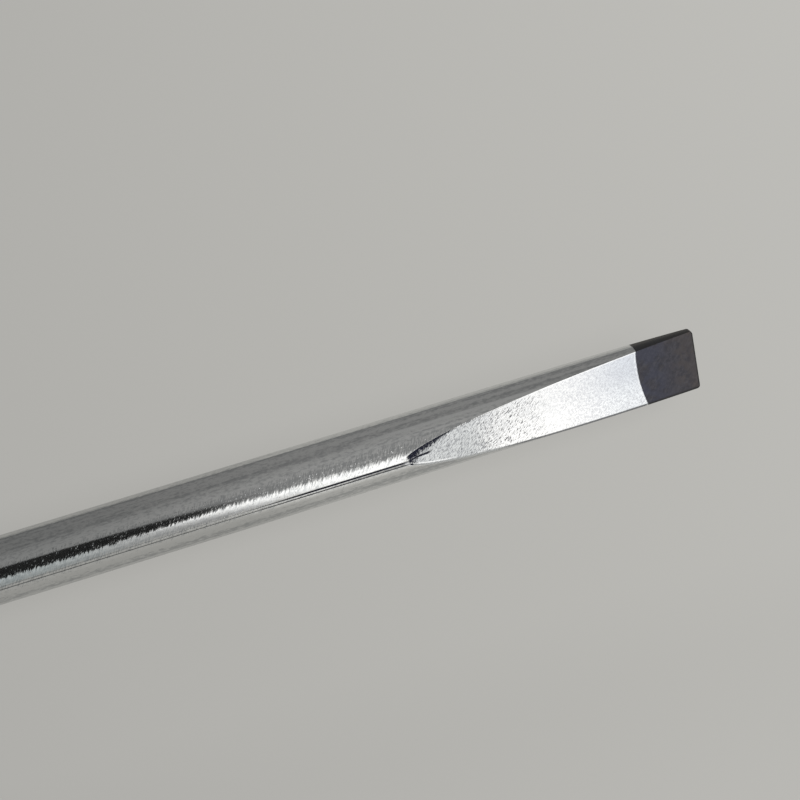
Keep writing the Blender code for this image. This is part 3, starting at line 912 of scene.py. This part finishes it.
def makeInlay():
    shape = inlayShape
    inlay = inlayBlank("inlay", 0, shape["face"])
    bpy.ops.mesh.bevel(offset=shape["edge"], segments=shape["edgeSteps"], affect="EDGES")
    tidyMesh()
    middle = noseEnd - (shape["start"] + shape["end"]) / 2
    first = middle - (shape["grooves"] - 1) * shape["groovePitch"] / 2
    height = axisHeight + shape["face"] + shape["grooveRadius"] - shape["grooveDepth"]
    for order in range(shape["grooves"]):
        leaveEdit()
        bpy.ops.mesh.primitive_cylinder_add(vertices=shape["grooveSides"], radius=shape["grooveRadius"],
                                            depth=2 * shape["width"], rotation=(math.pi / 2, 0, 0),
                                            location=(first + order * shape["groovePitch"], 0, height))
        applyBoolean(inlay, bpy.context.object, "DIFFERENCE")
    pickObject(inlay)
    soft = inlay.modifiers.new("soft", "BEVEL")
    soft.width = shape["soft"]
    soft.segments = shape["softSteps"]
    soft.limit_method = "ANGLE"
    soft.angle_limit = math.radians(shape["softAngle"])
    bpy.ops.object.modifier_apply(modifier=soft.name)
    return smoothPiece(inlay, shape["smoothAngle"])


def turnedCopy(piece, name, turn):
    leaveEdit()
    copy = piece.copy()
    copy.data = piece.data.copy()
    copy.name = copy.data.name = name
    scene.collection.objects.link(copy)
    turned = Matrix.Rotation(turn, 4, "X")
    copy.matrix_world = Matrix.Translation(axisPoint) @ turned @ Matrix.Translation(-axisPoint)
    pickObject(copy)
    settlePlace()
    return copy


def makeBody():
    shape = handleShape
    front, end = shape["front"], shape["end"]
    waistFrom, waistTo, run = sleeveShape["front"], sleeveShape["back"], shape["edgeRun"]
    corners = [(shape["boreEnd"], 0, 0), (shape["boreEnd"], shape["boreRadius"], 0)]
    frontRadius = handleRadius(front) - shape["frontIn"]
    corners += [(front, shape["boreRadius"], 0), (front, frontRadius, shape["frontFillet"])]
    corners += outlinePoints(front + shape["frontRun"], waistFrom - run)
    corners += [(waistFrom, handleRadius(waistFrom), shape["waistFillet"])]
    corners += outlinePoints(waistFrom, waistTo, sleeveShape["depth"])
    corners += [(waistTo, handleRadius(waistTo), shape["waistFillet"])]
    corners += outlinePoints(waistTo + run, end - run)
    corners += [(end, handleRadius(end), shape["endFillet"]), (end, shape["recessRadius"], 0)]
    corners += [(shape["recessFrom"], shape["recessRadius"], 0), (shape["recessFrom"], 0, 0)]
    body = turnProfile("moulded_body", rounded(corners), shape["sides"])
    editPiece(body)
    pressFacets(body, shape["guardFlats"], *shape["guardFacets"], handleRadius)
    pressFacets(body, shape["barrelFlats"], *shape["barrelFacets"], handleRadius)
    mergeFacets(body, shape["barrelFlats"], *shape["barrelMiddle"])
    pocket = inlayBlank("pocket", inlayShape["pocketGap"], shape["pocketTop"])
    tidyMesh()
    for turn in facetTurns:
        applyBoolean(body, turnedCopy(pocket, "pocketCut", turn), "DIFFERENCE")
    bpy.data.objects.remove(pocket)
    return smoothPiece(body, shape["smoothAngle"])


joinFrame(makeBody(), hardPlastic, "handle_body")
firstInlay = makeInlay()
for order, turn in enumerate(facetTurns, 1):
    inlayCopy = turnedCopy(firstInlay, "soft_inlay_%d" % order, math.pi + turn)
    joinFrame(inlayCopy, gripRubber, "grip_inlay_%d" % order)
bpy.data.objects.remove(firstInlay)

# end cap with its hanging hole
capShape = {
    "front": 0.0873, "domeFrom": 0.093, "end": 0.106, "radius": 0.0159,
    "endRadius": 0.009, "spigotRadius": 0.008, "spigotFrom": 0.076,
    "spigotFillet": 0.0006, "frontFillet": 0.0004, "edgeRun": 0.0007,
    "sideSteps": 8, "domeSteps": 26, "endRings": (0.9, 0.75, 0.5, 0.25, 0),
    "sides": 144, "facets": (0.0872, 0.1005),
    "facetMiddle": (0.0879, 0.1, 0.0058), "holeDepth": 0.096,
    "holeRadius": 0.0035, "holeSides": 96, "flare": 0.0016, "flareSteps": 12,
    "flareProud": 0.00003, "cutterHalf": 0.02, "smoothAngle": 40,
}


def capRadius(depth):
    shape = capShape
    share = min(max((depth - shape["domeFrom"]) / (shape["end"] - shape["domeFrom"]), 0), 1)
    return shape["endRadius"] + (shape["radius"] - shape["endRadius"]) * math.sqrt(1 - share ** 2)


def hangCutter():
    shape = capShape
    face = handleShape["barrelFlats"] / 2 + shape["flareProud"]
    flare, radius = shape["flare"], shape["holeRadius"]
    half = [(shape["cutterHalf"], 0), (shape["cutterHalf"], radius + flare)]
    half += [(face - flare * (1 - math.sin(angle)), radius + flare * (1 - math.cos(angle)))
             for angle in spaced(math.pi / 2, 0, shape["flareSteps"])]
    mirrored = [(-x, across) for x, across in reversed(half)]
    cutter = turnProfile("hangCutter", half + mirrored, shape["holeSides"])
    pickObject(cutter)
    cutter.rotation_euler.y = math.pi / 2
    cutter.location = (noseEnd - shape["holeDepth"] - axisHeight, 0, axisHeight)
    settlePlace()
    return cutter


def makeCap():
    shape = capShape
    spigot, front = shape["spigotFrom"], shape["front"]
    corners = [(spigot, 0, 0), (spigot, shape["spigotRadius"], shape["spigotFillet"])]
    corners += [(front, shape["spigotRadius"], 0), (front, shape["radius"], shape["frontFillet"])]
    sideFrom, sideTo = front + shape["edgeRun"], shape["domeFrom"]
    corners += [(depth, shape["radius"], 0) for depth in spaced(sideFrom, sideTo, shape["sideSteps"])]
    for angle in spaced(0, math.pi / 2, shape["domeSteps"])[1:]:
        depth = shape["domeFrom"] + (shape["end"] - shape["domeFrom"]) * math.sin(angle)
        radius = shape["endRadius"] + (shape["radius"] - shape["endRadius"]) * math.cos(angle)
        corners.append((depth, radius, 0))
    corners += [(shape["end"], shape["endRadius"] * share, 0) for share in shape["endRings"]]
    cap = turnProfile("domed_cap", rounded(corners), shape["sides"])
    editPiece(cap)
    pressFacets(cap, handleShape["barrelFlats"], *shape["facets"], capRadius)
    mergeFacets(cap, handleShape["barrelFlats"], *shape["facetMiddle"])
    applyBoolean(cap, hangCutter(), "DIFFERENCE")
    return smoothPiece(cap, shape["smoothAngle"])


joinFrame(makeCap(), capPlastic, "end_cap")


# camera at the photograph's angle
photoView = {
    "imageSize": 800,
    "tipPixel": (694.52, 357.86),  # middle of the tip's end
    "lens": 72.0,
    "sensor": 36.0, "clipFrom": 0.01,
    "tipDistance": 0.15079,
    "leanAway": 6.784,  # of the tool's axis, away from the camera
    "riseAcross": 16.799,  # and up across the picture
    "elevation": 55.247,  # of the camera, round the tool's axis
}


def makeCamera():
    lean, rise = math.radians(photoView["leanAway"]), math.radians(photoView["riseAcross"])
    elevation = math.radians(photoView["elevation"])
    # right, down and away, as the camera sees them
    seenAxis = Vector((math.cos(lean) * math.cos(rise), -math.cos(lean) * math.sin(rise), math.sin(lean)))
    seenFront = Vector((0, 0, -1))
    seenFront = (seenFront - seenFront.dot(seenAxis) * seenAxis).normalized()
    seenBelow = seenAxis.cross(seenFront)
    front = Vector((0, -math.cos(elevation), math.sin(elevation)))
    below = Vector((0, -math.sin(elevation), -math.cos(elevation)))
    turn = Matrix(((1, 0, 0), front, below)).transposed() @ Matrix((seenAxis, seenFront, seenBelow))
    focal = photoView["imageSize"] * photoView["lens"] / photoView["sensor"]
    centre = photoView["imageSize"] / 2
    distance = photoView["tipDistance"]
    toTip = Vector([(pixel - centre) * distance / focal for pixel in photoView["tipPixel"]] + [distance])
    right, down, away = turn.col
    cameraData = bpy.data.cameras.new("camera")
    cameraData.lens = photoView["lens"]
    cameraData.sensor_width = photoView["sensor"]
    cameraData.clip_start = photoView["clipFrom"]
    camera = bpy.data.objects.new("camera", cameraData)
    scene.collection.objects.link(camera)
    placed = Matrix((right, -down, -away)).transposed().to_4x4()
    placed.translation = Vector((tipEnd, 0, axisHeight)) - turn @ toTip
    camera.matrix_world = placed
    scene.camera = camera
    print("camera at", [round(c, 4) for c in placed.translation])
    return camera


# pale floor, its colour brighter along the tool as painted light falloff, with ramps along the tool and
# ahead of it for what the blade reflects
floorLook = {
    "size": 6.0,
    "drop": 0.0002,
    # painted light: the colour brightens along the tool, from leftAt to rightAt, as light falling off
    "leftColour": (0.393, 0.388, 0.369, 1),
    "rightColour": (0.537, 0.531, 0.505, 1),
    "leftAt": 0.0, "rightAt": 0.18,
    "roughness": 0.9, "specular": 0.1,
    "ownShare": 0.75,  # of the background's plain colour over its shaded one
    # painted reflections: how brightly the floor glows as reflections see it
    "shineAhead": ("ahead", 0.23, 1.2),
    "shineFrom": 0.0615,
    "shineLeast": 0.05,
    "shineSideways": ("sideways", -0.049, 0.011),
    "shineLevel": 3.0,
    "nearAhead": ("ahead", 0.0, 0.058, 0.84, 1.06),
    "nearAlong": ("along", 0.0585, 0.0685, 1.0, 1.2),
    "stripFirst": ("ahead", 0.028, 0.055),
    "stripLast": ("ahead", 0.08, 0.13, 1.0, 0.0),
    "stripAlong": ("along", 0.054, 0.068, 0.0, 0.8),
}


def makeFloor():
    look = floorLook
    leaveEdit()
    bpy.ops.mesh.primitive_plane_add(size=look["size"], location=(0, 0, -look["drop"]))
    floor = bpy.context.object
    floor.name = "floor"
    settlePlace()
    material, tree, shader = newMaterial("paleFloor")
    place = addNode("TexCoord", {}, tree).outputs["Object"]
    parts = addNode("SeparateXYZ", {0: place}).outputs
    at = SimpleNamespace(look=look, along=parts["X"], ahead=times(parts["Y"], -1.0))
    # painted light falloff along the tool
    share = addNode("MapRange", {0: at.along, 1: look["leftAt"], 2: look["rightAt"]})
    colour = mixColour(share.outputs[0], look["leftColour"], look["rightColour"])
    feed(shader, "Base Color", colour)
    shader.inputs["Roughness"].default_value = look["roughness"]
    shader.inputs["Specular IOR Level"].default_value = look["specular"]
    path = addNode("LightPath", {}, tree).outputs
    glossy = path["Is Glossy Ray"]
    ownShare = times(larger(path["Is Camera Ray"], glossy), look["ownShare"])
    # painted reflections: only reflections see the far floor in front shine as if under the window, and
    # the near floor with a bright strip
    sideways = minus(at.along, look["shineFrom"])
    at.sideways = over(sideways, larger(at.ahead, look["shineLeast"]))
    shine = times(ramped(at, "shineAhead", "shineSideways"), glossy)
    strip = ramped(at, "stripFirst", "stripLast", "stripAlong")
    near = plus(ramped(at, "nearAhead", "nearAlong"), strip)
    strength = mixValue(shine, mixValue(glossy, 1.0, near), look["shineLevel"])
    plain = addNode("Emission", {"Color": colour, "Strength": strength})
    mixed = addNode("MixShader", {0: ownShare, 1: shader.outputs[0], 2: plain.outputs[0]})
    feed(tree.nodes["Material Output"], "Surface", mixed.outputs[0])
    floor.data.materials.append(material)


# soft studio light: a dim room, a wide window low in front and a dark patch beside it,
# in degrees of swing to the side and of lift over the front
roomLight = {
    "ambient": 0.45,
    "domeLift": ("lift", 78.0, 132.7, 0.28, 0.20),
    "domeSwing": ("swing", -8.9, 6.1, 0.97, 1.38),
    "wallLift": ("lift", 5.0, 21.0, 0.40, 0.56),
    "wallShare": ("lift", 27.2, 39.2, 1.0, 0.0),
    "windowLevel": 1.6,
    "windowTop": ("topLift", 27.2, 45.2, 1.0, 0.0),
    "windowFoot": ("lift", -8.0, 2.0),
    "windowNear": ("aslant", -3.64, 1.6),
    "windowFar": ("swing", 26.0, 44.0, 1.0, 0.15),
    "topCurve": (-1.9, 0.14, 9.0),  # from, bend and most
    "aslantFrom": 27.2,
    "aslant": (0.15, 0.5),  # everywhere, and more of it above
    "boxes": ((-42.0, 75.0), (-42.0, 150.0), (58.0, 90.0)),
    "boxSwing": ("offSwing", 12.0, 17.0, 1.0, 0.0),
    "boxLift": ("offLift", 18.0, 26.0, 1.0, 0.0),
    "boxLevel": 1.5,
    "patchSwing": -8.7, "patchLift": 46.3, "patchSize": (9.0, 18.5),
    "patchEdge": ("patchOut", 0.82, 1.08, 1.0, 0.0),
    "darkLevel": 0.02,
    "coolSwing": ("swing", -7.9, -1.9, 1.0, 0.0),
    "coolLift": ("lift", 31.0, 43.0, 1.0, 0.15),
    "tints": ((1.0, 0.995, 0.98, 1), (0.93, 1.0, 1.0, 1)),
    "keyPower": 5.4, "fillPower": 2.5, "fillSide": (-0.4, 0.75, 0.45),
    "lampAim": 0.06, "lampDistance": 0.9, "lampSize": 0.3,
}


def windowShare(at):
    # its top comes down in a curve, its near side is cut off aslant
    curveFrom, bend, most = roomLight["topCurve"]
    shift = larger(minus(at.swing, curveFrom), 0.0)
    shift = times(mathNode("POWER", shift, 2.0), bend)
    at.topLift = plus(at.lift, mathNode("MINIMUM", shift, most))
    everywhere, more = roomLight["aslant"]
    above = minus(at.lift, roomLight["aslantFrom"])
    at.aslant = addTimes(above, everywhere, at.swing)
    at.aslant = addTimes(larger(above, 0.0), more, at.aslant)
    return ramped(at, "windowTop", "windowFoot", "windowNear", "windowFar")


def patchShare(at):
    patchWide, patchHigh = roomLight["patchSize"]
    offSwing = over(minus(at.swing, roomLight["patchSwing"]), patchWide)
    offLift = over(minus(at.lift, roomLight["patchLift"]), patchHigh)
    at.patchOut = plus(mathNode("POWER", offSwing, 2.0), mathNode("POWER", offLift, 2.0))
    return ramped(at, "patchEdge")


def makeWorld():
    world = bpy.data.worlds.new("studio")
    scene.world = world
    world.use_nodes = True
    tree = world.node_tree
    at = SimpleNamespace(look=roomLight)
    direction = addNode("TexCoord", {}, tree).outputs["Generated"]
    parts = addNode("SeparateXYZ", {0: direction}).outputs
    at.swing = times(mathNode("ARCSINE", parts["X"]), math.degrees(1))
    front = times(parts["Y"], -1.0)
    at.lift = times(mathNode("ARCTAN2", parts["Z"], front), math.degrees(1))
    dome = ramped(at, "domeLift", "domeSwing")
    room = mixValue(ramped(at, "wallShare"), dome, ramped(at, "wallLift"))
    room = mixValue(windowShare(at), room, roomLight["windowLevel"])
    # soft boxes well off to both sides, for the handle
    for boxSwing, boxLift in roomLight["boxes"]:
        at.offSwing, at.offLift = offFrom(at.swing, boxSwing), offFrom(at.lift, boxLift)
        room = mixValue(ramped(at, "boxSwing", "boxLift"), room, roomLight["boxLevel"])
    room = mixValue(patchShare(at), room, roomLight["darkLevel"])
    # only reflections see the room
    glossy = addNode("LightPath", {}, tree).outputs["Is Glossy Ray"]
    level = mixValue(glossy, roomLight["ambient"], room)
    cool = times(ramped(at, "coolSwing", "coolLift"), glossy)
    background = tree.nodes["Background"]
    feed(background, "Color", mixColour(cool, *roomLight["tints"]))
    feed(background, "Strength", level)


def makeLamps(camera):
    middle = Vector((roomLight["lampAim"], 0, axisHeight))
    towardsCamera = (camera.matrix_world.translation - middle).normalized()
    towards = {"key": towardsCamera, "fill": Vector(roomLight["fillSide"]).normalized()}
    for name, side in towards.items():
        lamp = bpy.data.lights.new(name, "AREA")
        lamp.shape = "DISK"
        lamp.size = roomLight["lampSize"]
        lamp.energy = roomLight[name + "Power"]
        light = bpy.data.objects.new(name, lamp)
        scene.collection.objects.link(light)
        light.location = middle + side * roomLight["lampDistance"]
        light.rotation_euler = side.to_track_quat("Z", "Y").to_euler()
        light.visible_glossy = False


camera = makeCamera()
makeFloor()
makeWorld()
makeLamps(camera)
print("floor, room and lamps placed")
